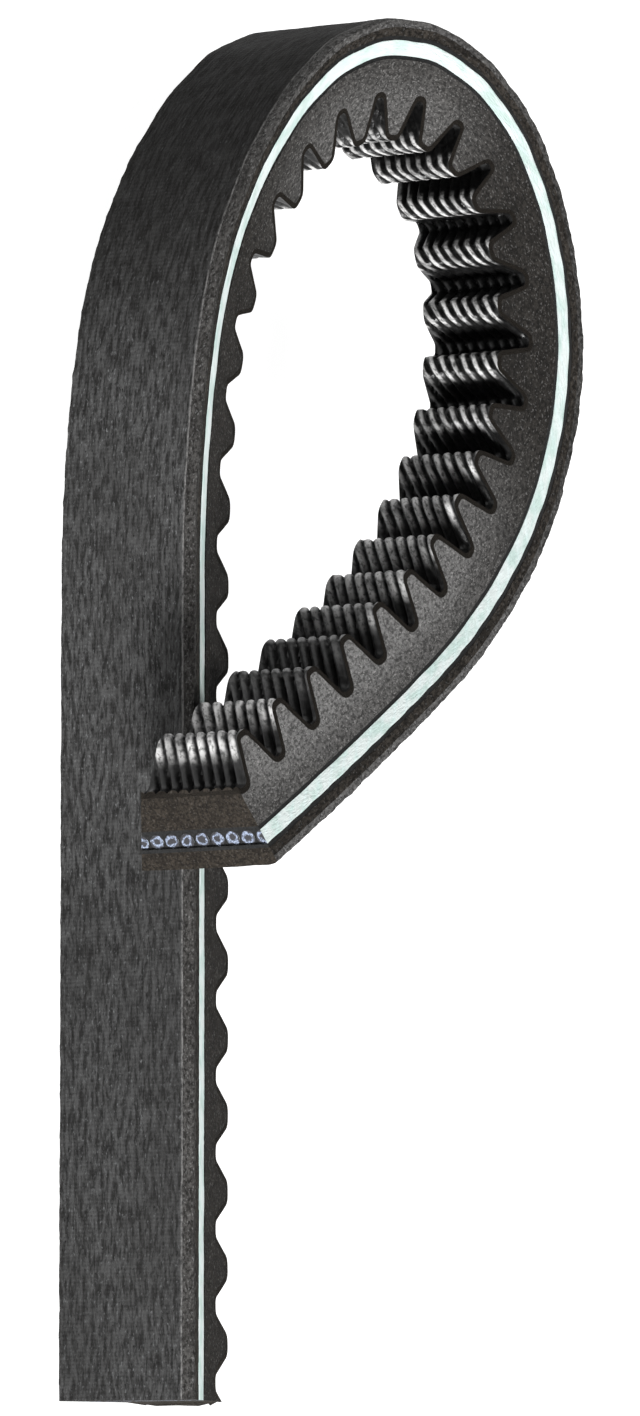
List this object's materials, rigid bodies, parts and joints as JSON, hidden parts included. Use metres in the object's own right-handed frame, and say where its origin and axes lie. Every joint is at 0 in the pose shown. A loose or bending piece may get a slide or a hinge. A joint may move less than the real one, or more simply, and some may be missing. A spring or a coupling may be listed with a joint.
{
  "type": "v belt",
  "caption": "Cut length of raw-edge cogged V-belt bent into a loop, with fabric back, white tensile cords and ribbed moulded cogs, for wedging into sheave grooves.",
  "frame": {"origin": "under the middle of the bent belt's bounding box, at the level that its lower raw edge lies on", "axes": "+Z across the belt, up from the surface it lies on; +Y along the straight run from its cut end towards the loop; the straight run's back faces -X"},
  "size_m": [0.0686, 0.1468, 0.0331],
  "materials": {
    "back_fabric": "rubberised bias-cut fabric, matt dark grey with paler lengthwise streaks",
    "fibre_rubber": "fibre-loaded rubber with a ground raw edge, matt grey-brown with paler cut fibres",
    "adhesion_gum": "plain black cushion gum, matt",
    "cord": "twisted polyester cord, bright white with a faint mint tint",
    "cog_facing": "smooth moulded facing with fine ribs, glossy black"
  },
  "bodies": {
    "root": {"top_fabric_outer_ply": "back_fabric", "top_fabric_inner_ply": "back_fabric", "overcord_rubber": "fibre_rubber", "upper_adhesion_gum": "adhesion_gum", "tensile_cord_1": "cord", "tensile_cord_2": "cord", "tensile_cord_3": "cord", "tensile_cord_4": "cord", "tensile_cord_5": "cord", "tensile_cord_6": "cord", "tensile_cord_7": "cord", "tensile_cord_8": "cord", "tensile_cord_9": "cord", "lower_adhesion_gum": "adhesion_gum", "compression_rubber": "fibre_rubber", "cog_facing_fabric": "cog_facing"}
  },
  "joints": []
}
